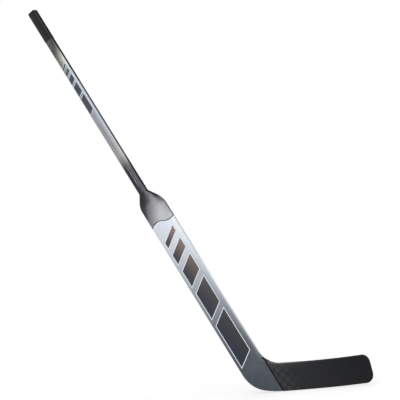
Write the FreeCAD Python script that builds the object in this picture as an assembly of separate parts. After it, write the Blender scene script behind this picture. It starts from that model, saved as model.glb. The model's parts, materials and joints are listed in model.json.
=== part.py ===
import FreeCAD, Part
import math
import os

# Ice hockey goalie stick held in its lie: sole on the ice at Z = 0, blade along +X, front face to -Y.
# The origin is the point of the sole that touches the ice. Lengths are in millimetres.

# Whole stick
lie_angle = 64.1                # degrees between the shaft and the ice
heel_to_contact = 179.4         # heel point, where the outer edge would meet the ice, to the origin
stick_depth = 21.5              # front to back of the shaft, the shoulder, the paddle and the heel
stick_rounding = 6.0            # radius of their long edges
skin_thickness = 1.6            # laminate of the shells, skins and rails
overrun = 60.0                  # how far every cutting shape reaches past what it cuts

# Shaft, a hollow tube whose lower end is stepped down to a tenon
shaft_length = 642.0            # neck to the end of the tube
shaft_width = 25.6
shaft_wall = 2.2
shaft_offset = 3.8              # shaft middle to paddle middle, towards the outer edge
tenon_length = 100.0            # part of the tube that is bonded into the shoulder
tenon_step = 2.4                # shaft's surface to the tenon's
tenon_wall = 2.2
neck_lap = 20.0                 # how far the tenon's narrow bore runs on above the neck

# Butt end, a grip sleeve and a plugged cap
grip_length = 100.0
grip_thickness = 0.6
cap_height = 5.0
cap_bevel = 2.6
cap_stem_length = 30.0
cap_stem_wall = 2.0
cap_stem_lead = 1.5             # chamfer that leads the stem into the tube
cap_rib_thickness = 2.0

# Shoulder, sloped out from the shaft and rounded into the paddle's edges
outer_slope = 36.0              # degrees between the slope and the shaft
outer_flare_radius = 47.0
inner_slope = 34.0
inner_flare_radius = 64.0
shoulder_seam_drop = 105.0      # neck to the middle of the wavy seam
shoulder_seam_wave = 7.5        # how far the seam swings to either side
seam_crest_place = 25.0         # outer edge to the seam's crest
seam_half_wave = 47.0           # crest to trough, across the paddle
seam_rise = 8.0                 # how much higher the seam lies on the back than on the front
shoulder_core_drop = 12.0       # neck to the top of the shoulder core

# Paddle
paddle_length = 662.0           # heel point to the neck
paddle_width = 79.2
rail_width = 14.0
rib_thickness = 3.0

# Heel
heel_outer_radius = 88.0
heel_sole_radius = 300.0
heel_start = 61.0               # heel point to the start of the heel's rounding, up the outer edge
throat_radius = 70.0            # hollow between the paddle and the top of the blade
heel_block_height = 122.0       # heel point to the top of the dense block, along the paddle
blade_seam_offset = 8.0         # paddle's inner edge line to the seam of the blade

# Blade, rockered along its sole, tapered to the toe and curved towards the front
blade_length = 393.0            # heel point to where the line of the toe meets the ice
blade_height = 78.0
blade_bevel = 2.8
rocker_radius = 3000.0
toe_depth = 8.6
taper_from_heel = 102.0         # heel point to the start of the taper
curve_from_heel = 110.0         # heel point to the start of the forehand curve
curve_radius = 1450.0
toe_slant = 7.0                 # degrees that the toe leans back from upright
toe_top_radius = 23.0
toe_sole_radius = 26.0
edge_wrap_width = 9.0
edge_wrap_thickness = 3.0
stringer_thickness = 3.0
blade_tenon_length = 90.0       # half of it in the heel block, half in the blade
blade_tenon_height = 40.0
blade_tenon_depth = 8.0
blade_tenon_rise = 40.0         # ice to the middle of the tenon

# Shares
taper_shares = ((0.0, 1.0), (0.14, 0.78), (0.30, 0.40), (0.52, 0.15), (0.76, 0.04), (1.0, 0.0))
facing_share = 0.7              # least part of a face's normal along a direction that it looks in

# Directions and fixed points
vec = FreeCAD.Vector
lie = math.radians(lie_angle)
slant = math.radians(toe_slant)
depth_axis = vec(0, 1, 0)
upward = vec(-math.cos(lie), 0, math.sin(lie))
inward = vec(math.sin(lie), 0, math.cos(lie))
heel = vec(-heel_to_contact, 0, 0)
rocker_centre = vec(0, 0, rocker_radius)
top_radius = rocker_radius - blade_height
shaft_middle = paddle_width / 2 - shaft_offset
neck = paddle_length
butt = neck + shaft_length
far = butt + overrun


def on_stick(across, along):
    # point on the middle plane, measured from the heel point
    return heel + inward * across + upward * along


def unit(vector):
    return vector * (1 / vector.Length)


def line(start, end):
    return Part.LineSegment(start, end).toShape()


def arc_about(centre, start, end):
    # the shorter arc round a centre
    bisector = unit(start - centre + (end - centre))
    return Part.Arc(start, centre + bisector * start.distanceToPoint(centre), end).toShape()


def line_to_circle(base, direction, centre, radius):
    # the first crossing of a line with a circle
    offset = base - centre
    along = offset.dot(direction)
    root = math.sqrt(along * along - offset.dot(offset) + radius * radius)
    return base + direction * (-along - root)


def circles_crossing(centre, radius, other_centre, other_radius):
    # where two circles cross, on the right of the way from the first centre to the other
    way = other_centre - centre
    distance = way.Length
    along = (distance * distance + radius * radius - other_radius * other_radius) / (2 * distance)
    aside = math.sqrt(radius * radius - along * along)
    forward = unit(way)
    return centre + forward * along + vec(forward.z, 0, -forward.x) * aside


def plate(face, depth):
    # a flat shape on the middle plane, given a depth to both sides
    return face.translated(depth_axis * (-depth / 2)).extrude(depth_axis * depth)


def through(face):
    return plate(face, 2 * overrun)


def strip(outer, inner, low, high):
    # everything between two places across and two places along the stick
    corners = [on_stick(outer, low), on_stick(inner, low), on_stick(inner, high), on_stick(outer, high)]
    return through(Part.Face(Part.makePolygon(corners + corners[:1])))


# Centres of the rounded stretches of the outline
throat_base = on_stick(paddle_width + throat_radius, 0)
throat_centre = line_to_circle(throat_base, upward, rocker_centre, top_radius - throat_radius)
heel_outer_centre = on_stick(heel_outer_radius, heel_start)
heel_sole_centre = circles_crossing(heel_outer_centre, heel_sole_radius - heel_outer_radius,
                                    rocker_centre, rocker_radius - heel_sole_radius)
toe_base = heel + vec(blade_length, 0, 0)
toe_direction = vec(-math.sin(slant), 0, math.cos(slant))
toe_outward = vec(math.cos(slant), 0, math.sin(slant))
toe_top_centre = line_to_circle(toe_base - toe_outward * toe_top_radius, toe_direction,
                                rocker_centre, top_radius + toe_top_radius)
toe_sole_centre = line_to_circle(toe_base - toe_outward * toe_sole_radius, toe_direction,
                                 rocker_centre, rocker_radius - toe_sole_radius)


def from_rocker(point, radius):
    # a point's place on a circle round the rocker's centre
    return rocker_centre + unit(point - rocker_centre) * radius


def blade_edges(inset):
    # the border from the paddle's inner edge through the throat, round the toe and to the outer edge
    throat_start = throat_centre - inward * (throat_radius + inset)
    throat_end = from_rocker(throat_centre, top_radius + inset)
    top_end = from_rocker(toe_top_centre, top_radius + inset)
    toe_top = toe_top_centre + toe_outward * (toe_top_radius - inset)
    toe_low = toe_sole_centre + toe_outward * (toe_sole_radius - inset)
    sole_start = from_rocker(toe_sole_centre, rocker_radius - inset)
    sole_end = from_rocker(heel_sole_centre, rocker_radius - inset)
    heel_turn = heel_outer_centre + unit(heel_outer_centre - heel_sole_centre) * (heel_outer_radius - inset)
    heel_end = heel_outer_centre - inward * (heel_outer_radius - inset)
    return [
        arc_about(throat_centre, throat_start, throat_end),
        arc_about(rocker_centre, throat_end, top_end),
        arc_about(toe_top_centre, top_end, toe_top),
        line(toe_top, toe_low),
        arc_about(toe_sole_centre, toe_low, sole_start),
        arc_about(rocker_centre, sole_start, sole_end),
        arc_about(heel_sole_centre, sole_end, heel_turn),
        arc_about(heel_outer_centre, heel_turn, heel_end),
    ]


def flare_edges(side, slope, radius, inset):
    # one side of the shoulder, from the paddle's edge up its slope to a little above the neck
    angle = math.radians(slope)
    edge = paddle_width / 2 - side * paddle_width / 2
    rise = side * (shaft_middle - edge) - shaft_width / 2
    run = (rise - radius * (1 - math.cos(angle))) / math.sin(angle)
    centre_place = neck - run * math.cos(angle) - radius * math.sin(angle)
    centre = on_stick(edge + side * radius, centre_place)
    start = centre - inward * (side * (radius - inset))
    end = centre + (upward * math.sin(angle) - inward * (side * math.cos(angle))) * (radius - inset)
    top_place = neck + shaft_width / 4
    climb = (top_place - (end - heel).dot(upward)) / math.cos(angle)
    top = end + (upward * math.cos(angle) + inward * (side * math.sin(angle))) * climb
    return [arc_about(centre, start, end), line(end, top)]


def stick_face(inset):
    # front outline of the paddle, the heel and the blade, with a square top at the neck
    border = blade_edges(inset)
    corners = [border[-1].Vertexes[-1].Point, on_stick(inset, neck), on_stick(paddle_width - inset, neck),
               border[0].Vertexes[0].Point]
    return Part.Face(Part.Wire(border + Part.makePolygon(corners).Edges))


def flared_face(inset):
    # the same outline with the shoulder's slopes
    border = blade_edges(inset)
    outer = flare_edges(1, outer_slope, outer_flare_radius, inset)
    inner = flare_edges(-1, inner_slope, inner_flare_radius, inset)
    outer_join = line(border[-1].Vertexes[-1].Point, outer[0].Vertexes[0].Point)
    top_join = line(outer[-1].Vertexes[-1].Point, inner[-1].Vertexes[-1].Point)
    inner_join = line(inner[0].Vertexes[0].Point, border[0].Vertexes[0].Point)
    joins = [outer_join, top_join, inner_join]
    return Part.Face(Part.Wire(Part.__sortEdges__(border + outer + inner + joins)))


def plate_rim(body):
    # the edges of a plate's front and back, all but those above the neck
    rim = []
    for edge in body.Edges:
        middle = edge.CenterOfMass
        if abs(middle.y) > skin_thickness and (middle - heel).dot(upward) < neck:
            rim.append(edge)
    return rim


def rounded_body():
    body = plate(flared_face(0), stick_depth)
    return body.makeFillet(stick_rounding, plate_rim(body))


def core_body():
    # the space inside the skins, with flat corners that stay clear of the rounded edges
    body = plate(flared_face(skin_thickness), stick_depth - 2 * skin_thickness)
    bevel = (stick_rounding - skin_thickness) * (2 - math.sqrt(2))
    return body.makeChamfer(bevel, plate_rim(body))


def bow(place):
    # how far the blade has curved to the front at a place along X
    run = max(place - heel.x - curve_from_heel, 0)
    return math.sqrt(curve_radius * curve_radius - run * run) - curve_radius


def blade_band(inset):
    # the blade seen from above: tapered and curved from the heel to the toe
    root = heel.x + taper_from_heel
    tip = toe_base.x
    tip_slope = (tip - heel.x - curve_from_heel) / curve_radius
    edges = []
    ends = []
    for side in (-1, 1):
        points = []
        for place_share, depth_share in taper_shares:
            place = root + (tip - root) * place_share
            half = (toe_depth + (stick_depth - toe_depth) * depth_share) / 2 - inset
            points.append(vec(place, bow(place) + half * side, -overrun))
        spline = Part.BSplineCurve()
        spline.interpolate(Points=points, InitialTangent=vec(1, 0, 0), FinalTangent=vec(1, -tip_slope, 0))
        start = vec(heel.x - overrun, points[0].y, -overrun)
        edges += [line(start, points[0]), spline.toShape()]
        ends.append((start, points[-1]))
    edges += [line(ends[0][0], ends[1][0]), line(ends[0][1], ends[1][1])]
    face = Part.Face(Part.Wire(Part.__sortEdges__(edges)))
    return face.extrude(vec(0, 0, blade_height + 3 * overrun))


def blade_body(face_inset, border_inset):
    return through(stick_face(border_inset)).common(blade_side).common(blade_band(face_inset)).Solids[0]


def middle_normal(face):
    low_u, high_u, low_v, high_v = face.ParameterRange
    return face.normalAt((low_u + high_u) / 2, (low_v + high_v) / 2)


def bevel_rim(blade):
    # bevels the edges between the blade's faces and its border, all but those at its seam
    rim = []
    for edge in blade.Edges:
        normals = [middle_normal(face) for face in blade.ancestorsOfType(edge, Part.Face)]
        facing = [abs(normal.y) > facing_share for normal in normals]
        at_seam = [normal.dot(inward) < -facing_share for normal in normals]
        if any(facing) and not all(facing) and not any(at_seam):
            rim.append(edge)
    return blade.makeChamfer(blade_bevel, rim)


def shoulder_zone():
    # everything above the wavy seam between the shoulder and the paddle, which climbs from front to back
    middle = neck - shoulder_seam_drop
    place = seam_crest_place - seam_half_wave * 3 / 2
    start = on_stick(place, middle)
    edges = []
    for swing in (-shoulder_seam_wave, shoulder_seam_wave, -shoulder_seam_wave):
        peak = on_stick(place + seam_half_wave / 2, middle + swing)
        end = on_stick(place + seam_half_wave, middle)
        edges.append(Part.Arc(on_stick(place, middle), peak, end).toShape())
        place += seam_half_wave
    corners = [on_stick(place, middle), on_stick(place, far), on_stick(-overrun, far),
               on_stick(-overrun, middle), start]
    face = Part.Face(Part.Wire(edges + Part.makePolygon(corners).Edges))
    reach = (depth_axis * stick_depth + upward * seam_rise) * (overrun / stick_depth)
    return face.translated(depth_axis * (-stick_depth / 2) - reach).extrude(reach * 2)


def shaft_bar(inset, low, high):
    # a solid stretch of the shaft's rounded section between two places along the stick
    corner = stick_rounding - inset
    side = shaft_width / 2 - stick_rounding
    face = stick_depth / 2 - stick_rounding
    centre = on_stick(shaft_middle, low)
    arcs = []
    for x_sign, y_sign in ((1, 1), (-1, 1), (-1, -1), (1, -1)):
        middle = centre + inward * (side * x_sign) + depth_axis * (face * y_sign)
        ends = [middle + inward * (corner * x_sign), middle + depth_axis * (corner * y_sign)]
        if x_sign != y_sign:
            ends.reverse()
        arcs.append((middle, ends[0], ends[1]))
    edges = []
    for index, (middle, start, end) in enumerate(arcs):
        edges.append(line(arcs[index - 1][2], start))
        edges.append(arc_about(middle, start, end))
    return Part.Face(Part.Wire(edges)).extrude(upward * (high - low))


def edges_at(solid, place):
    # the edges of a stretch of the shaft that lie at one of its ends
    def height(edge):
        return (edge.CenterOfMass - heel).dot(upward)
    return [edge for edge in solid.Edges if abs(height(edge) - place) < skin_thickness / 2]


def make_shaft():
    low = neck - tenon_length
    tube = shaft_bar(0, neck, butt).fuse(shaft_bar(tenon_step, low, neck))
    narrow_bore = shaft_bar(tenon_step + tenon_wall, low, neck + neck_lap)
    wide_bore = shaft_bar(shaft_wall, neck + neck_lap, butt)
    return tube.cut(narrow_bore).cut(wide_bore)


def make_grip():
    low = butt - grip_length
    return shaft_bar(-grip_thickness, low, butt).cut(shaft_bar(0, low, butt))


def make_cap():
    top = butt + cap_height
    low = butt - cap_stem_length
    flange = shaft_bar(-grip_thickness, butt, top)
    flange = flange.makeChamfer(cap_bevel, edges_at(flange, top))
    stem = shaft_bar(shaft_wall, low, butt)
    stem = stem.makeChamfer(cap_stem_lead, edges_at(stem, low))
    hollow = shaft_bar(shaft_wall + cap_stem_wall, low, butt)
    rib = strip(shaft_middle - cap_rib_thickness / 2, shaft_middle + cap_rib_thickness / 2, low, butt)
    return flange.fuse(stem.cut(hollow.cut(rib))).removeSplitter()


def front_and_back(shape):
    # the two halves of a shell, the front one first
    return sorted(shape.Solids, key=lambda solid: solid.CenterOfMass.y)


def across_order(shape):
    # solids from the outer edge of the paddle to the inner one
    return sorted(shape.Solids, key=lambda solid: (solid.CenterOfMass - heel).dot(inward))


# Zones that divide the bodies
core_joint = neck - tenon_length
seam_place = paddle_width + blade_seam_offset
above_neck = strip(-overrun, paddle_width + overrun, neck, far)
above_seam = shoulder_zone()
blade_side = strip(seam_place, seam_place + far, -far, far)
rail_window = through(stick_face(rail_width))
wrap_window = through(stick_face(edge_wrap_width))
front_half = Part.makeBox(2 * far, far, 2 * far, vec(-far, -far, -far))

# Bodies of the paddle and the blade, and the cores inside their skins
paddle_outer = rounded_body().cut(above_neck).cut(blade_side)
paddle_inner = core_body().cut(above_neck).cut(blade_side)
paddle_shell = paddle_outer.cut(paddle_inner)
blade_inner = blade_body(skin_thickness, edge_wrap_thickness)
blade_shell = bevel_rim(blade_body(0, 0)).cut(blade_inner)

parts = {}

# Shaft and butt end
parts["shaft_tube"] = make_shaft()
parts["butt_grip"] = make_grip()
parts["butt_cap"] = make_cap()

# Shoulder, with its core round the tenon
shoulder_shell = paddle_shell.common(above_seam)
shoulder_tenon = shaft_bar(tenon_step, core_joint, neck)
shoulder_core_zone = strip(-overrun, paddle_width + overrun, core_joint, neck - shoulder_core_drop)
parts["shoulder_front_shell"] = shoulder_shell.common(front_half)
parts["shoulder_back_shell"] = shoulder_shell.cut(front_half)
parts["shoulder_core"] = paddle_inner.common(shoulder_core_zone).cut(shoulder_tenon)

# Paddle
paddle_laminate = paddle_shell.cut(above_seam)
outer_rail, inner_rail = across_order(paddle_laminate.cut(rail_window))
front_skin, back_skin = front_and_back(paddle_laminate.common(rail_window))
parts["paddle_outer_rail"] = outer_rail
parts["paddle_inner_rail"] = inner_rail
parts["paddle_front_skin"] = front_skin
parts["paddle_back_skin"] = back_skin

# Paddle core, halved by the rib, and the dense block in the heel with the mortise for the blade
rib_low = paddle_width / 2 - rib_thickness / 2
rib_zone = strip(rib_low, rib_low + rib_thickness, heel_block_height, core_joint)
core_zone = strip(-overrun, paddle_width + overrun, heel_block_height, core_joint)
heel_zone = strip(-overrun, seam_place, -overrun, heel_block_height)
tenon_middle = on_stick(seam_place, (blade_tenon_rise - seam_place * inward.z) / upward.z)
tenon_corner = tenon_middle - vec(blade_tenon_length / 2, blade_tenon_depth / 2, blade_tenon_height / 2)
blade_tenon = Part.makeBox(blade_tenon_length, blade_tenon_depth, blade_tenon_height, tenon_corner)
paddle_core = paddle_inner.common(core_zone)
outer_core, inner_core = across_order(paddle_core.cut(rib_zone))
parts["paddle_rib"] = paddle_core.common(rib_zone)
parts["paddle_outer_core"] = outer_core
parts["paddle_inner_core"] = inner_core
parts["heel_block"] = paddle_inner.common(heel_zone).cut(blade_tenon)
parts["blade_tenon"] = blade_tenon

# Blade
blade_front, blade_back = front_and_back(blade_shell.common(wrap_window))
parts["blade_front_skin"] = blade_front
parts["blade_back_skin"] = blade_back
parts["blade_edge_wrap"] = blade_shell.cut(wrap_window)

# Blade core, halved by the stringer that forks round the tenon
stringer_outside = rocker_radius - blade_height / 2 + stringer_thickness / 2
stringer_base = rocker_centre - depth_axis * overrun
stringer_zone = Part.makeCylinder(stringer_outside, 2 * overrun, stringer_base, depth_axis)
upper_zone = Part.makeCylinder(stringer_outside - stringer_thickness, 2 * overrun, stringer_base, depth_axis)
blade_core = blade_inner.cut(blade_tenon)
parts["blade_lower_core"] = blade_core.cut(stringer_zone)
parts["blade_upper_core"] = blade_core.common(upper_zone)
parts["blade_stringer"] = blade_core.common(stringer_zone).cut(upper_zone)

os.makedirs("parts", exist_ok=True)
for name, shape in parts.items():
    solids = shape.Solids
    print(name, "solids", len(solids), "volume", round(shape.Volume, 1), "valid", shape.isValid())
    shape.exportStep("parts/" + name + ".step")
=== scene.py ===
import json
import math
import bmesh
import bpy
from mathutils import Matrix, Vector


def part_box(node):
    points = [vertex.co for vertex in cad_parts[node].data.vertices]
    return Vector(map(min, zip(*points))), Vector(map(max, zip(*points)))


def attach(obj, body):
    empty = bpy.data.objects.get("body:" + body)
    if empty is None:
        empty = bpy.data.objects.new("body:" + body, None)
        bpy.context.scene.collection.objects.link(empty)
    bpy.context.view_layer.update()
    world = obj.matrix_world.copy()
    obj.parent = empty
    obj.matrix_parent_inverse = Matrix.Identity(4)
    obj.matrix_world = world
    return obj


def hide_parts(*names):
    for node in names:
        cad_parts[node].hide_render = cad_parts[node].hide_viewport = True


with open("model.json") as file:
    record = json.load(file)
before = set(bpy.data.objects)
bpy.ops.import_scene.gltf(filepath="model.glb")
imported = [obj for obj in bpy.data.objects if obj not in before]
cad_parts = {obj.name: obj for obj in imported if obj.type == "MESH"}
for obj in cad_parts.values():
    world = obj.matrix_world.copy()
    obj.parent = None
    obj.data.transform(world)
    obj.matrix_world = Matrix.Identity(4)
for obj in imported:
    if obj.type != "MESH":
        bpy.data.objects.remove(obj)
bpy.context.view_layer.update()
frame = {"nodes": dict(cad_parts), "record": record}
nodes = frame["nodes"]
print("frame loaded,", len(nodes), "nodes")


# the stick's own directions: up the shaft, in from the outer edge, and through the faces
gripMount = next(m for m in frame["record"]["mounts"] if m["name"] == "hand_grip")
stickUp = Vector(gripMount["axis"]).normalized()
stickIn = Vector((stickUp.z, 0, -stickUp.x))
faceAxis = Vector((0, 1, 0))  # from the front face to the back
toMm = 1000  # the finishes work in millimetres


def reach(node, direction):
    places = [direction.dot(v.co) for v in nodes[node].data.vertices]
    return min(places), max(places)


outerEdge = reach("paddle_outer_rail", stickIn)[0]
heelUp = -outerEdge * stickIn.z / stickUp.z  # where the outer edge's line meets the ice


def alongOf(node, end):
    # the node's lower or upper end, 0 or 1, in millimetres up from the heel
    return (reach(node, stickUp)[end] - heelUp) * toMm


neckPlace = alongOf("shoulder_front_shell", 1)
seamPlace = (alongOf("shoulder_front_shell", 0) + alongOf("paddle_front_skin", 1)) / 2
paddleWidth = (reach("shoulder_front_shell", stickIn)[1] - outerEdge) * toMm
shaftSides = [(place - outerEdge) * toMm for place in reach("shaft_tube", stickIn)]
shaftMiddle = sum(shaftSides) / 2
halfDepth = -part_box("paddle_front_skin")[0][1] * toMm
bladeSeam = reach("blade_edge_wrap", stickIn)[0] * toMm  # how far in the blade begins
print("neck", round(neckPlace), "and seam", round(seamPlace), "mm up the stick")


def paint(colour):
    # a colour as it is read off a chart, 0 to 255, made linear
    parts = [c / 255 for c in colour]
    return tuple(c / 12.92 if c <= 0.04045 else ((c + 0.055) / 1.055) ** 2.4 for c in parts) + (1.0,)


def findSocket(sockets, name):
    if isinstance(name, int):
        return sockets[name]
    return next(s for s in sockets if s.enabled and name in (s.name, s.identifier))


def setStops(ramp, stops):
    while len(ramp.elements) < len(stops):
        ramp.elements.new(1.0)
    for element, (place, colour) in zip(ramp.elements, stops):
        element.position = place
        element.color = colour


class Wire:
    # one socket of a node tree, so that masks read as sums
    def __init__(self, tree, socket):
        self.tree = tree
        self.socket = socket

    def node(self, kind, settings, sockets, out=0):
        made = self.tree.nodes.new(kind)
        for name, value in settings.items():
            if name == "stops":
                setStops(made.color_ramp, value)
            else:
                setattr(made, name, value)
        for name, value in sockets.items():
            place = findSocket(made.inputs, name)
            if isinstance(value, Wire):
                self.tree.links.new(value.socket, place)
            else:
                place.default_value = value
        return Wire(self.tree, findSocket(made.outputs, out)) if made.outputs else None

    def math(self, operation, *others):
        return self.node("ShaderNodeMath", {"operation": operation}, dict(enumerate((self,) + others)))

    def __add__(self, other):
        return self.math("ADD", other)

    def __sub__(self, other):
        return self.math("SUBTRACT", other)

    def __rsub__(self, other):
        return self.node("ShaderNodeMath", {"operation": "SUBTRACT"}, {0: other, 1: self})

    def __mul__(self, other):
        return self.math("MULTIPLY", other)

    def __truediv__(self, other):
        return self.math("DIVIDE", other)

    def __mod__(self, other):
        return self.math("FLOORED_MODULO", other)

    def __abs__(self):
        return self.math("ABSOLUTE")

    __radd__ = __add__
    __rmul__ = __mul__

    def fade(self, start, end):
        # 0 at start and before it, 1 at end and past it, soft between
        sockets = {"Value": self, "From Min": start, "From Max": end}
        return self.node("ShaderNodeMapRange", {"interpolation_type": "SMOOTHSTEP"}, sockets, "Result")

    def dot(self, direction):
        settings = {"operation": "DOT_PRODUCT"}
        return self.node("ShaderNodeVectorMath", settings, {0: self, 1: tuple(direction)}, "Value")

    def grow(self, factors):
        settings = {"operation": "MULTIPLY"}
        return self.node("ShaderNodeVectorMath", settings, {0: self, 1: tuple(factors)}, "Vector")

    def ramp(self, stops):
        # colours along a value, their places given in the value's own unit
        start, end = stops[0][0], stops[-1][0]
        placed = [((place - start) / (end - start), paint(colour)) for place, colour in stops]
        share = (self - start) / (end - start)
        return self.node("ShaderNodeValToRGB", {"stops": placed}, {"Fac": share}, "Color")

    def mix(self, under, over):
        # self is the mask: under where it is 0, over where it is 1
        sockets = {"Factor": self, "A": under, "B": over}
        return self.node("ShaderNodeMix", {"data_type": "RGBA"}, sockets, "Result")

    def shade(self, colour):
        # a colour made lighter or darker by a value round 1
        grey = self.node("ShaderNodeCombineColor", {}, {"Red": self, "Green": self, "Blue": self}, "Color")
        settings = {"data_type": "RGBA", "blend_type": "MULTIPLY"}
        return self.node("ShaderNodeMix", settings, {"Factor": 1.0, "A": colour, "B": grey}, "Result")

    def noise(self, size, detail=2.0, rough=0.5):
        sockets = {"Vector": self, "Scale": 1 / size, "Detail": detail, "Roughness": rough}
        return self.node("ShaderNodeTexNoise", {"noise_dimensions": "3D"}, sockets, "Fac")

    def bump(self, height, strength):
        # height of the relief in millimetres
        sockets = {"Height": self, "Strength": strength, "Distance": height / toMm}
        return self.node("ShaderNodeBump", {}, sockets, "Normal")


def spread(mask, low, high):
    # low where the mask is 0, high where it is 1
    return low + mask * (high - low)


def swing(mask, amount):
    # a shade round 1, half the amount to either side
    return 1 + (mask - 0.5) * amount


def between(value, places):
    # up to 1 from the first place to the second, and with four places back to 0 from the third to the last
    rise = value.fade(*places[:2])
    return rise * value.fade(places[3], places[2]) if len(places) == 4 else rise


def emptyTree(holder):
    # a material's or a world's nodes cleared, and a wire to start from
    holder.use_nodes = True
    holder.node_tree.nodes.clear()
    return Wire(holder.node_tree, None)


def newFinish(name):
    # a new material, and the place on the piece in millimetres
    made = bpy.data.materials.new(name)
    spot = emptyTree(made).node("ShaderNodeTexCoord", {}, {}, "Object").grow((toMm, toMm, toMm))
    return made, spot


# dark lines: how matt they are, how soft at their sides, and how far they end short of the back
darkLine = {"rough": 0.75, "shine": 0.05, "soft": 1.0, "backGap": 1.5}


def lay(spot, values, tone, wear, relief, line=None):
    # the finish itself, rougher where it is worn, with a dark line over it where one is given
    sockets = {"Base Color": tone, "Roughness": spread(wear, *values["rough"]),
               "Specular IOR Level": values["shine"], "Normal": relief.bump(*values["relief"])}
    shader = spot.node("ShaderNodeBsdfPrincipled", {}, sockets, "BSDF")
    if line is not None:
        sockets = {"Base Color": paint(values["line"]), "Roughness": darkLine["rough"],
                   "Specular IOR Level": darkLine["shine"]}
        over = spot.node("ShaderNodeBsdfPrincipled", {}, sockets, "BSDF")
        shader = spot.node("ShaderNodeMixShader", {}, {0: line, 1: shader, 2: over}, "Shader")
    spot.node("ShaderNodeOutputMaterial", {}, {"Surface": shader})


def stickPlaces(spot):
    # millimetres in from the outer edge and up from the heel
    return spot.dot(stickIn) - outerEdge * toMm, spot.dot(stickUp) - heelUp * toMm


def backLine(spot, start, end=halfDepth - darkLine["backGap"]):
    # a line up the sides, between two depths
    behind = spot.dot(faceAxis)
    soft = darkLine["soft"]
    return (behind - start).fade(-soft, soft) * (behind - end).fade(soft, -soft)


def cornerHighlight(spot, fromMiddle, values):
    # a painted highlight along the front corner towards the blade
    return between(spot.dot(faceAxis), values["cornerDepths"]) * fromMiddle.fade(*values["cornerFrom"])


def fibres(spot, length, width):
    # streaks that run up the stick, for paint over laid fibre
    across, along, depth = spot.dot(stickIn), spot.dot(stickUp), spot.dot(faceAxis)
    sockets = {"X": across / width, "Y": along / length, "Z": depth / width}
    laid = spot.node("ShaderNodeCombineXYZ", {}, sockets, "Vector")
    return laid.noise(1, detail=3, rough=0.6)


def offMiddle(value):
    # how far off the middle of each unit step, up to a half
    return abs(value % 1 - 0.5)


def stripes(value, pitch, width, soft):
    # bands a pitch apart, the first half a pitch from 0
    off = offMiddle(value / pitch) * pitch
    return off.fade(width / 2 + soft, width / 2 - soft)


def weave(first, second):
    # two sets of tows over and under: which set is on top, and how far off the middle of each tow
    over = (first.math("FLOOR") + second.math("FLOOR")) % 2
    return over, offMiddle(first), offMiddle(second)


def biasWeave(spot, tow):
    # the same at 45 degrees to the stick, carried on round its sides
    pitch = tow * math.sqrt(2)
    rising = spot.dot(stickIn + stickUp + faceAxis) / pitch
    falling = spot.dot(stickIn - stickUp + faceAxis) / pitch
    return weave(rising, falling)


def slantPanel(across, along, panel, slant, middle):
    # how far outside a panel with slanted ends a point lies, below 0 inside
    left, right, bottom, top = panel
    leaned = along - (across - middle) * slant
    sideways = abs(across - (left + right) / 2) - (right - left) / 2
    lengthways = (abs(leaned - (bottom + top) / 2) - (top - bottom) / 2) * math.cos(math.atan(slant))
    return sideways.math("MAXIMUM", lengthways)


def gradedPanels(left, right, bottom, top, design):
    # panels that grow shorter up the stick, with equal gaps
    count, ratio, gap = design["count"], design["ratio"], design["gap"]
    longest = (top - bottom - gap * (count - 1)) * (1 - ratio) / (1 - ratio ** count)
    panels = []
    for place in range(count):
        length = longest * ratio ** place
        panels.append((left, right, bottom, bottom + length))
        bottom += length + gap
    return panels


def panelMasks(across, along, design, zone):
    # one mask for the panels with their keylines and one for the dark fill inside those
    middle = (zone[0] + zone[1]) / 2
    outside = None
    for panel in gradedPanels(*zone, design):
        found = slantPanel(across, along, panel, design["slant"], middle)
        outside = found if outside is None else outside.math("MINIMUM", found)
    soft, keyline = design["edgeSoft"], design["keyline"]
    return outside.fade(soft, -soft), outside.fade(-keyline + soft, -keyline - soft)


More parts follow.
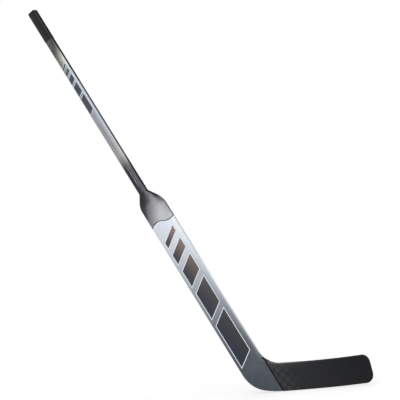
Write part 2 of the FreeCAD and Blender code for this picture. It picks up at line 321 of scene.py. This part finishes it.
shaftPaint = {
    # millimetres above the neck and colour
    "stops": [(0, (84, 84, 95)), (36, (61, 61, 66)), (74, (64, 64, 69)), (90, (98, 98, 101)),
              (108, (143, 143, 144)), (128, (173, 173, 173)), (270, (172, 176, 189)), (440, (182, 188, 198)),
              (454, (205, 206, 200)), (470, (200, 198, 184)), (498, (126, 128, 119)), (512, (82, 84, 80)),
              (524, (56, 58, 56)), (545, (38, 40, 39))],
    "fibre": (60, 1.4), "streakShades": (0.93, 1.07),
    # where the dark zone at the neck gives way to the pale one, that to the top one, and that to the butt's
    "zones": [(72, 108), (400, 452), (500, 540)],
    # in those four: the painted shade on the outer half (in the butt's zone the inner half is painted darker
    # instead), where it ends across the face, and over what width; near the neck the shade's end moves
    "outerShades": (0.24, 0.75, 0.37, 2.9),
    "shadeEnds": (-3.0, 0.0, -4.0, 4.0), "shadeWidths": (6.2, 10.0, 17.0, 6.0),
    "neckZone": (24, 8), "neckShift": 3.4,
    # weave that shows through in the butt's zone and in the panels
    "tow": 2.6, "buttContrast": 0.3, "panelContrast": 0.24,
    # the dark band up the side away from the pale part, then along it: partly black paint, partly painted
    # shade
    "line": (14, 14, 16), "lineStarts": (-3.3, -2.8), "lineShares": (1, 0.86),
    "lineZone": (90, 125, 370, 415),
    # a painted highlight along the front corner towards the blade, stronger in the butt's zone
    "cornerGain": 0.34, "buttCornerGain": 0.8, "cornerDepths": (-9.2, -7.4, -5.2, -3.5), "cornerFrom": (6, 9),
    # bright bundles of fibre that show through the dark zone, broken up along their length
    "bundle": (168, 168, 177), "bundleFirst": 2.8, "bundlePitch": 7.0, "bundleWidth": 2.2, "bundleSoft": 0.6,
    "bundleSides": (0.5, 1.5, 6.5, 12.5), "bundleEnds": (14, 32, 74, 100),
    "breaks": (9, 1.5), "breakFade": (0.3, 0.7), "breakShares": (0.25, 1),
    "pinstripe": (104, 104, 108), "pinstripeOff": 1.8, "pinstripeWidth": 0.8, "pinstripeSoft": 0.1,
    "pinstripeEnds": (158, 161, 240, 243), "pinstripeShare": 0.8,
    # the panels lie across from the shaft's middle, then up from the neck
    "panelZone": (-10.8, 10.4, 284, 450), "count": 5, "ratio": 0.63, "gap": 7.0,
    "slant": 0.55, "keyline": 1.1, "edgeSoft": 0.12, "panelKeyline": (222, 227, 236),
    "panelFill": [(280, (70, 72, 80)), (370, (62, 70, 82)), (450, (74, 82, 74))],
    "wornSize": 9, "rough": (0.26, 0.38), "shine": 0.3, "relief": (0.02, 0.4),
}


def shaftBundles(spot, fromMiddle, above):
    values = shaftPaint
    pitch = values["bundlePitch"]
    fromFirst = fromMiddle - values["bundleFirst"] + pitch / 2
    bundle = stripes(fromFirst, pitch, values["bundleWidth"], values["bundleSoft"])
    bundle = bundle * between(fromMiddle, values["bundleSides"]) * between(above, values["bundleEnds"])
    broken = fibres(spot, *values["breaks"]).fade(*values["breakFade"])
    return bundle * spread(broken, *values["breakShares"])


def shaftPinstripes(fromMiddle, above):
    values = shaftPaint
    half, soft = values["pinstripeWidth"] / 2, values["pinstripeSoft"]
    off = abs(abs(fromMiddle) - values["pinstripeOff"])
    stripe = off.fade(half + soft, half - soft) * between(above, values["pinstripeEnds"])
    return stripe * values["pinstripeShare"]


def makeShaftFinish():
    values = shaftPaint
    made, spot = newFinish("shaftPaint")
    across, along = stickPlaces(spot)
    above = along - neckPlace
    fromMiddle = across - shaftMiddle
    streak = fibres(spot, *values["fibre"])
    over = biasWeave(spot, values["tow"])[0]
    zones = [above.fade(*zone) for zone in values["zones"]]
    butt = zones[-1]

    def byZone(wanted):
        value = wanted[0]
        for zone, before, after in zip(zones, wanted, wanted[1:]):
            value = value + zone * (after - before)
        return value

    # painted shade across the face: the outer half darker, and in the butt's zone the inner half
    shadeEnd = byZone(values["shadeEnds"]) + above.fade(*values["neckZone"]) * values["neckShift"]
    lit = ((fromMiddle - shadeEnd) / byZone(values["shadeWidths"])).fade(0, 1)
    shading = spread(lit, byZone(values["outerShades"]), 1) * swing(over, butt * values["buttContrast"])
    tone = shading.shade(above.ramp(values["stops"]))
    outline, fill = panelMasks(fromMiddle, above, values, values["panelZone"])
    panelTone = swing(over, values["panelContrast"]).shade(above.ramp(values["panelFill"]))
    tone = fill.mix(outline.mix(tone, paint(values["panelKeyline"])), panelTone)
    tone = shaftBundles(spot, fromMiddle, above).mix(tone, paint(values["bundle"]))
    tone = shaftPinstripes(fromMiddle, above).mix(tone, paint(values["pinstripe"]))
    # the painted highlight along the front corner
    cornerGain = values["cornerGain"] + butt * values["buttCornerGain"]
    tone = (1 + cornerHighlight(spot, fromMiddle, values) * cornerGain).shade(tone)
    tone = spread(streak, *values["streakShades"]).shade(tone)
    worn = spot.noise(values["wornSize"], detail=4)
    byPale = between(above, values["lineZone"])
    line = backLine(spot, spread(byPale, *values["lineStarts"])) * spread(byPale, *values["lineShares"])
    lay(spot, values, tone, worn, streak, line)
    return made


gripRubber = {
    "dark": (36, 36, 38), "light": (50, 50, 52), "patchSize": 14,
    # the front lighter on its outer half and darker on its inner half, and the painted highlight that the
    # front corner towards the blade adds
    "gains": (1.22, 0.66), "gainSides": (-9, 12),
    "cornerGain": 0.85, "cornerDepths": (-9.4, -8.4, -6.0, -4.6), "cornerFrom": (6, 9),
    "pebble": 0.9, "pebbleSoft": 0.5, "pebbleShades": (1.06, 0.88),
    "line": (12, 12, 13), "lineStart": -2.8,
    "rough": (0.72, 0.84), "shine": 0.2, "relief": (0.12, 0.5),
}


def makeGripFinish():
    values = gripRubber
    made, spot = newFinish("gripRubber")
    fromMiddle = stickPlaces(spot)[0] - shaftMiddle
    sockets = {"Vector": spot, "Scale": 1 / values["pebble"], "Smoothness": values["pebbleSoft"]}
    pebble = spot.node("ShaderNodeTexVoronoi", {"feature": "SMOOTH_F1"}, sockets, "Distance")
    patch = spot.noise(values["patchSize"], detail=3)
    tone = patch.mix(paint(values["dark"]), paint(values["light"]))
    # lighter outer half, darker inner half, and a painted highlight on the front corner
    gain = spread(fromMiddle.fade(*values["gainSides"]), *values["gains"])
    gain = gain + cornerHighlight(spot, fromMiddle, values) * values["cornerGain"]
    tone = (gain * spread(pebble, *values["pebbleShades"])).shade(tone)
    lay(spot, values, tone, patch, 1 - pebble, backLine(spot, values["lineStart"]))
    return made


capPlastic = {
    "tone": (18, 18, 19), "grain": 0.5, "grainShades": (0.9, 1.1),
    "rough": (0.55, 0.7), "shine": 0.12, "relief": (0.05, 0.5),
}


def makeCapFinish():
    values = capPlastic
    made, spot = newFinish("capPlastic")
    grain = spot.noise(values["grain"], detail=3)
    tone = spread(grain, *values["grainShades"]).shade(paint(values["tone"]))
    lay(spot, values, tone, grain, grain)
    return made


shoulderPaint = {
    # millimetres off the leaning line where the dark begins, and colour
    "stops": [(-12, (55, 52, 62)), (-4, (66, 63, 73)), (2, (100, 99, 107)), (22, (144, 145, 149)),
              (48, (186, 188, 192)), (66, (193, 195, 199))],
    "lean": 0.54, "leanFrom": 85.74, "leanWander": 5, "wanderSize": 22,
    "fibre": (45, 1.1), "streakShades": (0.95, 1.11),
    "tow": 4.0, "weaveContrast": 0.2, "weaveRelief": 0.5,
    # painted shade along the slope on the blade's side, in a strip that widens from the neck, and painted
    # shade round the neck
    "slope": 34, "slopeShade": 0.55, "slopeWidths": (3.5, 10), "slopeRun": (4, 22),
    "neckShade": 0.8, "neckFade": (14, 50),
    # painted shade and painted highlights by where they lie across and below the neck: wedge, slopeCorner,
    # innerSide and outerEdge are painted shade, neckShine and lowerFront painted highlights
    "paintedLightPatches": {
        "wedge": {"shade": 0.42, "across": (53, 35), "below": (46, 30)},
        "slopeCorner": {"shade": 0.26, "across": (52, 78), "below": (18, 32, 44, 68)},
        "innerSide": {"shade": 0.65, "across": (66, 80), "below": (40, 54, 74, 112)},
        "outerEdge": {"shade": 0.45, "across": (11, 3), "below": (79, 65)},
        "neckShine": {"shade": 1.45, "across": (36, 44), "below": (15, 5)},
        "lowerFront": {"shade": 1.09, "across": (64, 46), "below": (62, 78)},
    },
    # the thin dark line down the side, and the wide painted shade on the slope, which moves on to the front
    # corner
    "line": (16, 16, 18), "lineStart": -0.5, "lineShare": 0.78,
    "slopeStarts": (-3.1, -8.0, -10.6), "slopeStartRuns": [(-4, 4), (14, 40)],
    "slopeEnds": (9.0, -3.0), "slopeEndRun": (28, 46), "slopeLineFade": (60, 22),
    "slopeLineWidth": (4.5, 2.5), "neckLineWidth": 8.0,
    "rough": (0.28, 0.4), "shine": 0.3, "relief": (0.02, 0.4),
}


def shoulderLineAndShade(spot, across, below, toSlope):
    values = shoulderPaint
    firstRun, lastRun = [below.fade(*run) for run in values["slopeStartRuns"]]
    first, second, last = values["slopeStarts"]
    start = spread(firstRun, first, second) + lastRun * (last - second)
    end = spread(below.fade(*values["slopeEndRun"]), *values["slopeEnds"])
    toEdge = toSlope.math("MINIMUM", paddleWidth - across) - (1 - lastRun) * values["neckLineWidth"]
    onSlope = below.fade(*values["slopeLineFade"])
    # the wide painted shade on the slope
    slopeLine = backLine(spot, start, end) * onSlope * toEdge.fade(*values["slopeLineWidth"])
    thinLine = backLine(spot, values["lineStart"]) * values["lineShare"] * (1 - onSlope)
    return slopeLine + thinLine


def makeShoulderFinish():
    values = shoulderPaint
    made, spot = newFinish("shoulderPaint")
    across, along = stickPlaces(spot)
    below = neckPlace - along
    streak = fibres(spot, *values["fibre"])
    wander = (spot.noise(values["wanderSize"]) - 0.5) * values["leanWander"]
    tone = (across + (below - values["leanFrom"]) * values["lean"] + wander).ramp(values["stops"])
    slope = math.radians(values["slope"])
    toSlope = (below * math.tan(slope) + shaftSides[1] - across) * math.cos(slope)
    # painted shade along the slope and round the neck
    slopeWidth = spread(below.fade(*values["slopeRun"]), *values["slopeWidths"])
    tone = spread((toSlope / slopeWidth).fade(0, 1), values["slopeShade"], 1).shade(tone)
    tone = spread(below.fade(*values["neckFade"]), values["neckShade"], 1).shade(tone)
    # the patches of painted shade and painted highlight
    for patch in values["paintedLightPatches"].values():
        mask = across.fade(*patch["across"]) * between(below, patch["below"])
        tone = spread(mask, 1, patch["shade"]).shade(tone)
    over, offFirst, offSecond = biasWeave(spot, values["tow"])
    strands = over * offFirst + (1 - over) * offSecond
    woven = swing(over, values["weaveContrast"]) - strands * values["weaveContrast"]
    tone = (spread(streak, *values["streakShades"]) * woven).shade(tone)
    relief = streak + over * values["weaveRelief"] - strands
    lay(spot, values, tone, streak, relief, shoulderLineAndShade(spot, across, below, toSlope))
    return made


paddlePaint = {
    # millimetres up from the heel and colour
    "stops": [(0, (59, 64, 74)), (130, (80, 85, 95)), (220, (114, 118, 129)), (370, (170, 176, 185)),
              (490, (208, 215, 223)), (560, (219, 226, 236))],
    "cloudSize": 60, "toneWander": 24, "fillWander": 60,
    "gains": (0.93, 1.15),  # the front's shade near its outer and inner edge
    # painted reflections: mottled lighter and darker patches over the lower paddle and heel
    "mottle": 0.6, "mottleSize": 20, "mottleFade": (190, 110),
    "fibre": (50, 1.2), "streakShades": (0.965, 1.035), "fillShades": (0.86, 1.14),
    # the panels' place by shares of the paddle's width, then of the way up to the shoulder's seam
    "panelZoneShares": (0.15, 0.86, 0.165, 0.928), "count": 5, "ratio": 0.63, "gap": 19.0,
    "slant": 0.55, "keyline": 2.2, "edgeSoft": 0.2, "panelKeyline": (228, 233, 240),
    # the fill at the panels' outer and inner ends, by shares of the way up to that seam
    "outerFill": [(0.17, (25, 33, 52)), (0.55, (43, 47, 60)), (0.93, (62, 60, 66))],
    "innerFill": [(0.17, (36, 40, 42)), (0.55, (66, 65, 65)), (0.93, (142, 124, 114))],
    "fillShares": (0.2, 0.85), "fillTow": 3.0, "fillContrast": 0.22,
    # where the sides begin, by shares of the long edges' rounding, and the inner half, by shares of the width
    "rounding": 6, "sideShares": (0.15, 0.9), "innerShares": (0.45, 0.55),
    # painted shade on the outer side
    "outerShade": 0.6,
    # the side towards the blade pales to its back corner: partly pale paint, partly a painted highlight
    "side": [(76, (92, 96, 104)), (100, (157, 160, 168)), (190, (200, 203, 209)), (280, (227, 230, 235)),
             (560, (230, 234, 241))],
    "sideFade": (-8.5, 4.5),
    "edgeLine": (98, 101, 107), "edgeLineStart": 3.4, "edgeLineFade": (330, 450),
    "line": (26, 27, 28), "throatFade": (73, 69),  # black in the throat
    "peelSize": 1.6, "peelShare": 0.4,
    "rough": (0.24, 0.34), "shine": 0.35, "relief": (0.02, 0.35),
}


def paddleFill(spot, across, along, cloud, streak):
    # the dark inside the panels, which turns browner up the stick and towards the blade
    values = paddlePaint
    wandered = along + (cloud - 0.5) * values["fillWander"]
    fills = []
    for name in ("outerFill", "innerFill"):
        fills.append(wandered.ramp([(share * seamPlace, colour) for share, colour in values[name]]))
    tone = across.fade(*[share * paddleWidth for share in values["fillShares"]]).mix(*fills)
    woven = swing(biasWeave(spot, values["fillTow"])[0], values["fillContrast"])
    return (spread(streak, *values["fillShades"]) * woven).shade(tone)


def makePaddleFinish():
    values = paddlePaint
    made, spot = newFinish("paddlePaint")
    across, along = stickPlaces(spot)
    streak = fibres(spot, *values["fibre"])
    cloud = spot.noise(values["cloudSize"])
    tone = (along + (cloud - 0.5) * values["toneWander"]).ramp(values["stops"])
    gain = spread(across.fade(0, paddleWidth), *values["gains"])
    # painted reflections mottling the lower paddle and heel
    mottle = swing(spot.noise(values["mottleSize"]), along.fade(*values["mottleFade"]) * values["mottle"])
    tone = (gain * mottle).shade(tone)
    left, right, bottom, top = values["panelZoneShares"]
    zone = (left * paddleWidth, right * paddleWidth, bottom * seamPlace, top * seamPlace)
    outline, fill = panelMasks(across, along, values, zone)
    tone = outline.mix(tone, paint(values["panelKeyline"]))
    tone = fill.mix(tone, paddleFill(spot, across, along, cloud, streak))
    # painted shade on the outer side, an inner side that pales to the back (partly pale paint, partly a
    # painted highlight), a thin line there, and black in the throat
    depths = [halfDepth - share * values["rounding"] for share in values["sideShares"]]
    side = abs(spot.dot(faceAxis)).fade(*depths)
    inner = across.fade(*[share * paddleWidth for share in values["innerShares"]])
    tone = spread(side * (1 - inner), 1, values["outerShade"]).shade(tone)
    pale = side * inner * spot.dot(faceAxis).fade(*values["sideFade"])
    tone = pale.mix(tone, along.ramp(values["side"]))
    edgeLine = backLine(spot, values["edgeLineStart"]) * along.fade(*values["edgeLineFade"])
    tone = edgeLine.mix(tone, paint(values["edgeLine"]))
    tone = spread(streak, *values["streakShades"]).shade(tone)
    throat = along.fade(*values["throatFade"]) * inner * side
    peel = spot.noise(values["peelSize"])
    relief = streak * (1 - values["peelShare"]) + peel * values["peelShare"]
    lay(spot, values, tone, cloud, relief, throat)
    return made


bladeCarbon = {
    # the two tones of the weave by the heel, further along, and at the toe, darker towards the toe as painted
    # shade where the curved face turns from the light
    "heel": [(39, 40, 42), (60, 61, 62)],
    "middle": [(35, 36, 38), (39, 40, 42)],
    "toe": [(18, 19, 21), (22, 23, 26)],
    "heelFade": (8, 74), "toeFade": (60, 250),
    # a lighter band under the top edge by the heel
    "upper": (62, 60, 58), "upperShare": 0.75, "upperFade": (54, 84), "upperEnd": (130, 40),
    "tow": 13.5, "towEdge": (0.44, 0.5), "strand": 0.7, "strandShades": (0.9, 1.3), "strandRelief": 0.5,
    # what makes up the light tone's share
    "overShare": 0.7, "patchShare": 0.5, "patchSize": 26, "edgeShare": 0.3, "leastShare": -0.1,
    "line": (13, 14, 16), "lineWidth": (5.2, 3.2), "lineShare": 0.85,  # dark along the seam at the heel
    "overWear": 0.385, "rough": (0.46, 0.59), "shine": 0.14, "relief": (0.05, 0.35),
}


def makeBladeFinish():
    values = bladeCarbon
    made, spot = newFinish("bladeCarbon")
    lengthwise, upright = spot.dot((1, 0, 0)), spot.dot((0, 0, 1))
    fromSeam = spot.dot(stickIn) - bladeSeam
    over, offColumn, offRow = weave(lengthwise / values["tow"], upright / values["tow"])
    edge = offColumn.math("MAXIMUM", offRow).fade(*values["towEdge"])
    strandUp, strandAlong = [offMiddle(value / values["strand"]) for value in (lengthwise, upright)]
    strands = strandUp * over + strandAlong * (1 - over)
    patch = spot.noise(values["patchSize"], detail=3)
    share = over * values["overShare"] + patch * values["patchShare"]
    share = share - edge * values["edgeShare"] + values["leastShare"]
    tones = []
    for name in ("heel", "middle", "toe"):
        tones.append(share.mix(*[paint(colour) for colour in values[name]]))
    tone = fromSeam.fade(*values["heelFade"]).mix(tones[0], tones[1])
    # painted shade: the weave darker towards the toe
    tone = fromSeam.fade(*values["toeFade"]).mix(tone, tones[2])
    upper = upright.fade(*values["upperFade"]) * fromSeam.fade(*values["upperEnd"])
    tone = (upper * values["upperShare"]).mix(tone, paint(values["upper"]))
    tone = spread(strands, *values["strandShades"]).shade(tone)
    wear = over * values["overWear"] + patch * (1 - values["overWear"])
    line = fromSeam.fade(*values["lineWidth"]) * values["lineShare"]
    lay(spot, values, tone, wear, strands * values["strandRelief"] - edge, line)
    return made


foamCore = {
    "pale": (226, 220, 200), "shade": (196, 188, 164),
    "cell": 1.1, "cellShare": 0.7, "patchSize": 18, "patchShare": 0.4,
    "rough": (0.82, 0.92), "shine": 0.2, "relief": (0.3, 0.6),
}
heelFoam = dict(foamCore, pale=(150, 152, 146), shade=(104, 106, 104), cell=0.7)


def makeFoamFinish(name, values):
    made, spot = newFinish(name)
    sockets = {"Vector": spot, "Scale": 1 / values["cell"]}
    cell = spot.node("ShaderNodeTexVoronoi", {"feature": "F1"}, sockets, "Distance")
    patch = spot.noise(values["patchSize"], detail=3)
    share = cell * values["cellShare"] + patch * values["patchShare"]
    tone = share.mix(paint(values["pale"]), paint(values["shade"]))
    lay(spot, values, tone, patch, 1 - cell)
    return made


innerLaminate = {
    "dark": (30, 31, 33), "light": (58, 59, 62), "tow": 2.0, "overShare": 0.6, "crownShare": 0.3,
    "rough": (0.36, 0.46), "shine": 0.4, "relief": (0.08, 0.5),
}


def makeLaminateFinish():
    values = innerLaminate
    made, spot = newFinish("innerLaminate")
    over, offFirst, offSecond = biasWeave(spot, values["tow"])
    crown = 1 - (offFirst + offSecond)
    share = over * values["overShare"] + crown * values["crownShare"]
    tone = share.mix(paint(values["dark"]), paint(values["light"]))
    lay(spot, values, tone, over, crown)
    return made


seamFiller = {
    # full at the edges, thin and pale in the middle of the faces
    "full": (22, 21, 24), "thin": (96, 96, 100), "thinAcross": (24, 36, 54, 64),
    "grain": 0.8, "grainShades": (0.85, 1.15),
    "rough": (0.5, 0.7), "shine": 0.25, "relief": (0.04, 0.5),
}


def makeSeamFinish():
    values = seamFiller
    made, spot = newFinish("seamFiller")
    grain = spot.noise(values["grain"], detail=3)
    thin = between(stickPlaces(spot)[0], values["thinAcross"])
    tone = thin.mix(paint(values["full"]), paint(values["thin"]))
    tone = spread(grain, *values["grainShades"]).shade(tone)
    lay(spot, values, tone, grain, grain)
    return made


shaftFinish = makeShaftFinish()
gripFinish = makeGripFinish()
capFinish = makeCapFinish()
shoulderFinish = makeShoulderFinish()
paddleFinish = makePaddleFinish()
bladeFinish = makeBladeFinish()
foamFinish = makeFoamFinish("foamCore", foamCore)
heelFinish = makeFoamFinish("heelFoam", heelFoam)
laminateFinish = makeLaminateFinish()
seamFinish = makeSeamFinish()
print("finishes mixed,", len(bpy.data.materials), "materials")


skin = {"smoothBelow": math.radians(60), "weldGap": 1e-6}  # edges that turn less are rounded over by shading


def weldedMesh(node):
    # the node's loose triangles joined into one skin
    mesh = bmesh.new()
    mesh.from_mesh(nodes[node].data)
    bmesh.ops.remove_doubles(mesh, verts=mesh.verts, dist=skin["weldGap"])
    mesh.normal_update()
    return mesh


def settle(piece):
    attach(piece, "root")
    return piece


def newPiece(name, mesh, finish):
    mesh.materials.clear()
    mesh.materials.append(finish)
    piece = bpy.data.objects.new(name, mesh)
    bpy.context.scene.collection.objects.link(piece)
    return piece


def applyModifiers(piece):
    bpy.context.view_layer.update()
    graph = bpy.context.evaluated_depsgraph_get()
    piece.data = bpy.data.meshes.new_from_object(piece.evaluated_get(graph), depsgraph=graph)
    piece.modifiers.clear()


def smoothSkin(name, node, finish):
    welded = weldedMesh(node)
    for face in welded.faces:
        face.smooth = True
    for edge in welded.edges:
        edge.smooth = len(edge.link_faces) == 2 and edge.calc_face_angle(0) < skin["smoothBelow"]
    mesh = bpy.data.meshes.new(name)
    welded.to_mesh(mesh)
    welded.free()
    piece = newPiece(name, mesh, finish)
    weigh = piece.modifiers.new("flats stay flat", "WEIGHTED_NORMAL")
    weigh.mode = "FACE_AREA"
    weigh.keep_sharp = True
    applyModifiers(piece)
    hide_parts(node)
    return settle(piece)


outerPieces = [
    ("shaftTube", "shaft_tube", shaftFinish, "shaft_finish"),
    ("buttGrip", "butt_grip", gripFinish, "grip"),
    ("buttCap", "butt_cap", capFinish, "cap"),
    ("shoulderFront", "shoulder_front_shell", shoulderFinish, "shoulder_finish"),
    ("shoulderBack", "shoulder_back_shell", shoulderFinish, "shoulder_finish"),
    ("outerRail", "paddle_outer_rail", paddleFinish, "paddle_finish"),
    ("innerRail", "paddle_inner_rail", paddleFinish, "paddle_finish"),
    ("paddleFront", "paddle_front_skin", paddleFinish, "paddle_finish"),
    ("paddleBack", "paddle_back_skin", paddleFinish, "paddle_finish"),
    ("bladeFront", "blade_front_skin", bladeFinish, "blade_finish"),
    ("bladeBack", "blade_back_skin", bladeFinish, "blade_finish"),
    ("bladeEdge", "blade_edge_wrap", bladeFinish, "blade_finish"),
]
for pieceName, nodeName, finish, slotName in outerPieces:
    smoothSkin(pieceName, nodeName, finish)
print("outer skins smoothed,", len(outerPieces), "pieces")

innerFinishes = {
    "shoulder_core": foamFinish, "paddle_outer_core": foamFinish, "paddle_inner_core": foamFinish,
    "blade_lower_core": foamFinish, "blade_upper_core": foamFinish, "heel_block": heelFinish,
    "paddle_rib": laminateFinish, "blade_tenon": laminateFinish, "blade_stringer": laminateFinish,
}
for nodeName, finish in innerFinishes.items():
    nodes[nodeName].data.materials.clear()
    nodes[nodeName].data.materials.append(finish)
print("inner pieces finished,", len(innerFinishes))


# the dark line of filler in the wavy seam between shoulder and paddle
seamBead = {
    "width": 0.0027, "height": 0.0007, "step": 0.0012, "sides": 12,
    # a face of the seam's wall looks down the stick at least this much, an outer one out from its middle
    "wallTurn": -0.5, "outTurn": 0.001, "weldGap": 0.0002,
}


def seamEdges(shell):
    # the shell's outer edges at the seam, each with the face beside it that looks outwards
    centre = outerEdge + paddleWidth / toMm / 2
    found = []
    for edge in shell.edges:
        walls = [f for f in edge.link_faces if f.normal.dot(stickUp) < seamBead["wallTurn"]]
        sides = [f for f in edge.link_faces if f not in walls]
        if len(walls) != 1 or len(sides) != 1:
            continue
        middle = (edge.verts[0].co + edge.verts[1].co) / 2
        fromAxis = stickIn * (stickIn.dot(middle) - centre) + faceAxis * middle.y
        if sides[0].normal.dot(fromAxis) > seamBead["outTurn"]:
            found.append((edge, sides[0]))
    return found


def seamLoop(name):
    # both shells' edges at the seam as one loop, each point with the way out from the surface
    loop = bmesh.new()
    out = loop.verts.layers.float_vector.new("out")
    for node in ("shoulder_front_shell", "shoulder_back_shell"):
        shell = weldedMesh(node)
        rims = seamEdges(shell)
        outward = {}
        for edge, side in rims:
            for vert in edge.verts:
                outward[vert] = outward.get(vert, Vector()) + side.normal
        placed = {}
        for vert, way in outward.items():
            placed[vert] = loop.verts.new(vert.co)
            placed[vert][out] = way.normalized()
        for edge, side in rims:
            loop.edges.new([placed[v] for v in edge.verts])
        shell.free()
    bmesh.ops.remove_doubles(loop, verts=loop.verts, dist=seamBead["weldGap"])
    mesh = bpy.data.meshes.new(name)
    loop.to_mesh(mesh)
    loop.free()
    return mesh


def beadTree():
    tree = bpy.data.node_groups.new("seamBead", "GeometryNodeTree")
    inputs = {"Path": "Geometry", "Width": "Float", "Height": "Float", "Step": "Float", "Sides": "Int",
              "Finish": "Material"}
    for name, kind in inputs.items():
        tree.interface.new_socket(name, in_out="INPUT", socket_type="NodeSocket" + kind)
    tree.interface.new_socket("Bead", in_out="OUTPUT", socket_type="NodeSocketGeometry")
    given = tree.nodes.new("NodeGroupInput")
    path, width, height, step, sides, finish = [Wire(tree, given.outputs[name]) for name in inputs]
    curve = path.node("GeometryNodeMeshToCurve", {}, {"Mesh": path})
    even = path.node("GeometryNodeResampleCurve", {"mode": "LENGTH"}, {"Curve": curve, "Length": step})
    settings = {"data_type": "FLOAT_VECTOR"}
    out = path.node("GeometryNodeInputNamedAttribute", settings, {"Name": "out"}, "Attribute")
    upright = path.node("GeometryNodeSetCurveNormal", {"mode": "FREE"}, {"Curve": even, "Normal": out})
    ring = path.node("GeometryNodeCurvePrimitiveCircle", {}, {"Resolution": sides, "Radius": 1 / 2})
    size = path.node("ShaderNodeCombineXYZ", {}, {"X": height, "Y": width, "Z": 1.0})
    flat = path.node("GeometryNodeTransform", {}, {"Geometry": ring, "Scale": size})
    bead = path.node("GeometryNodeCurveToMesh", {}, {"Curve": upright, "Profile Curve": flat})
    bead = path.node("GeometryNodeSetShadeSmooth", {}, {"Geometry": bead})
    bead = path.node("GeometryNodeRealizeInstances", {}, {"Geometry": bead})
    bead = path.node("GeometryNodeSetMaterial", {}, {"Geometry": bead, "Material": finish})
    path.node("NodeGroupOutput", {}, {"Bead": bead})
    return tree


def makeSeamBead():
    piece = newPiece("seamBead", seamLoop("seamBead"), seamFinish)
    grow = piece.modifiers.new("bead", "NODES")
    grow.node_group = beadTree()
    wanted = {"Width": seamBead["width"], "Height": seamBead["height"], "Step": seamBead["step"],
              "Sides": seamBead["sides"], "Finish": seamFinish}
    for item in grow.node_group.interface.items_tree:
        if item.name in wanted:
            grow[item.identifier] = wanted[item.name]
    applyModifiers(piece)
    return settle(piece)


print("seam bead laid,", len(makeSeamBead().data.polygons), "faces")


studio = {
    "floorSize": 14.0, "floorTone": (0.95, 0.95, 0.95, 1), "floorWhite": 0.65,
    "skyTone": (1, 1, 1, 1), "skyLight": 0.38, "background": 1.0,
    # where each lamp stands, its strength and how wide it is in degrees
    "lamps": [("keyLamp", (0.45, -0.8, 0.5), 0.6, 50), ("topLamp", (-0.1, -0.25, 1.0), 1.3, 70),
              ("edgeLamp", (0.72, -0.2, 0.6), 0.4, 14), ("backLamp", (-0.3, 0.8, 0.8), 0.55, 50)],
}


def showsBackground(start):
    # 1 for what the camera, a reflection or clear material sees
    seen = start.node("ShaderNodeLightPath", {}, {}, "Is Camera Ray")
    rays = seen.socket.node.outputs
    for name in ("Is Glossy Ray", "Is Transmission Ray"):
        seen = seen.math("MAXIMUM", Wire(start.tree, rays[name]))
    return seen


def makeFloor():
    made = bpy.data.materials.new("paleFloor")
    start = emptyTree(made)
    matte = start.node("ShaderNodeBsdfDiffuse", {}, {"Color": studio["floorTone"]}, "BSDF")
    white = start.node("ShaderNodeEmission", {}, {"Strength": 1.0}, "Emission")
    share = showsBackground(start) * studio["floorWhite"]
    surface = start.node("ShaderNodeMixShader", {}, {0: share, 1: matte, 2: white}, "Shader")
    start.node("ShaderNodeOutputMaterial", {}, {"Surface": surface})
    half = studio["floorSize"] / 2
    corners = [(-half, -half, 0), (half, -half, 0), (half, half, 0), (-half, half, 0)]
    mesh = bpy.data.meshes.new("floor")
    mesh.from_pydata(corners, [], [(0, 1, 2, 3)])
    floor = newPiece("floor", mesh, made)


def makeWorld():
    world = bpy.data.worlds.new("studio")
    start = emptyTree(world)
    strength = spread(showsBackground(start), studio["skyLight"], studio["background"])
    sky = {"Color": studio["skyTone"], "Strength": strength}
    surface = start.node("ShaderNodeBackground", {}, sky, "Background")
    start.node("ShaderNodeOutputWorld", {}, {"Surface": surface})
    bpy.context.scene.world = world


def makeLamps():
    for name, place, strength, width in studio["lamps"]:
        lamp = bpy.data.lights.new(name, "SUN")
        lamp.energy = strength
        lamp.angle = math.radians(width)
        stand = bpy.data.objects.new(name, lamp)
        stand.rotation_euler = Vector(place).to_track_quat("Z", "Y").to_euler()
        bpy.context.scene.collection.objects.link(stand)


# the photograph's view: angles in degrees, distance and target in metres, focal length in pixels of its width
view = {
    "azimuth": 31.1655, "elevation": 0.9886, "roll": -9.5588, "distance": 4.8569,
    "target": (-0.2526, 0, 0.5636), "focal": 1711.4, "imageWidth": 400, "sensor": 36.0,
}


def makeCamera():
    turn, lift, roll = [math.radians(view[name]) for name in ("azimuth", "elevation", "roll")]
    back = Vector((math.sin(turn) * math.cos(lift), -math.cos(turn) * math.cos(lift), math.sin(lift)))
    level = Vector((math.cos(turn), math.sin(turn), 0))
    plumb = back.cross(level)
    right = level * math.cos(roll) + plumb * math.sin(roll)
    up = plumb * math.cos(roll) - level * math.sin(roll)
    lens = bpy.data.cameras.new("camera")
    lens.sensor_width = view["sensor"]
    lens.lens = view["focal"] / view["imageWidth"] * view["sensor"]
    camera = bpy.data.objects.new("camera", lens)
    place = Matrix((right, up, back)).transposed().to_4x4()
    place.translation = Vector(view["target"]) + back * view["distance"]
    camera.matrix_world = place
    bpy.context.scene.collection.objects.link(camera)
    bpy.context.scene.camera = camera


makeFloor()
makeWorld()
makeLamps()
makeCamera()
bpy.context.scene.view_settings.view_transform = "Standard"
print("stage set")
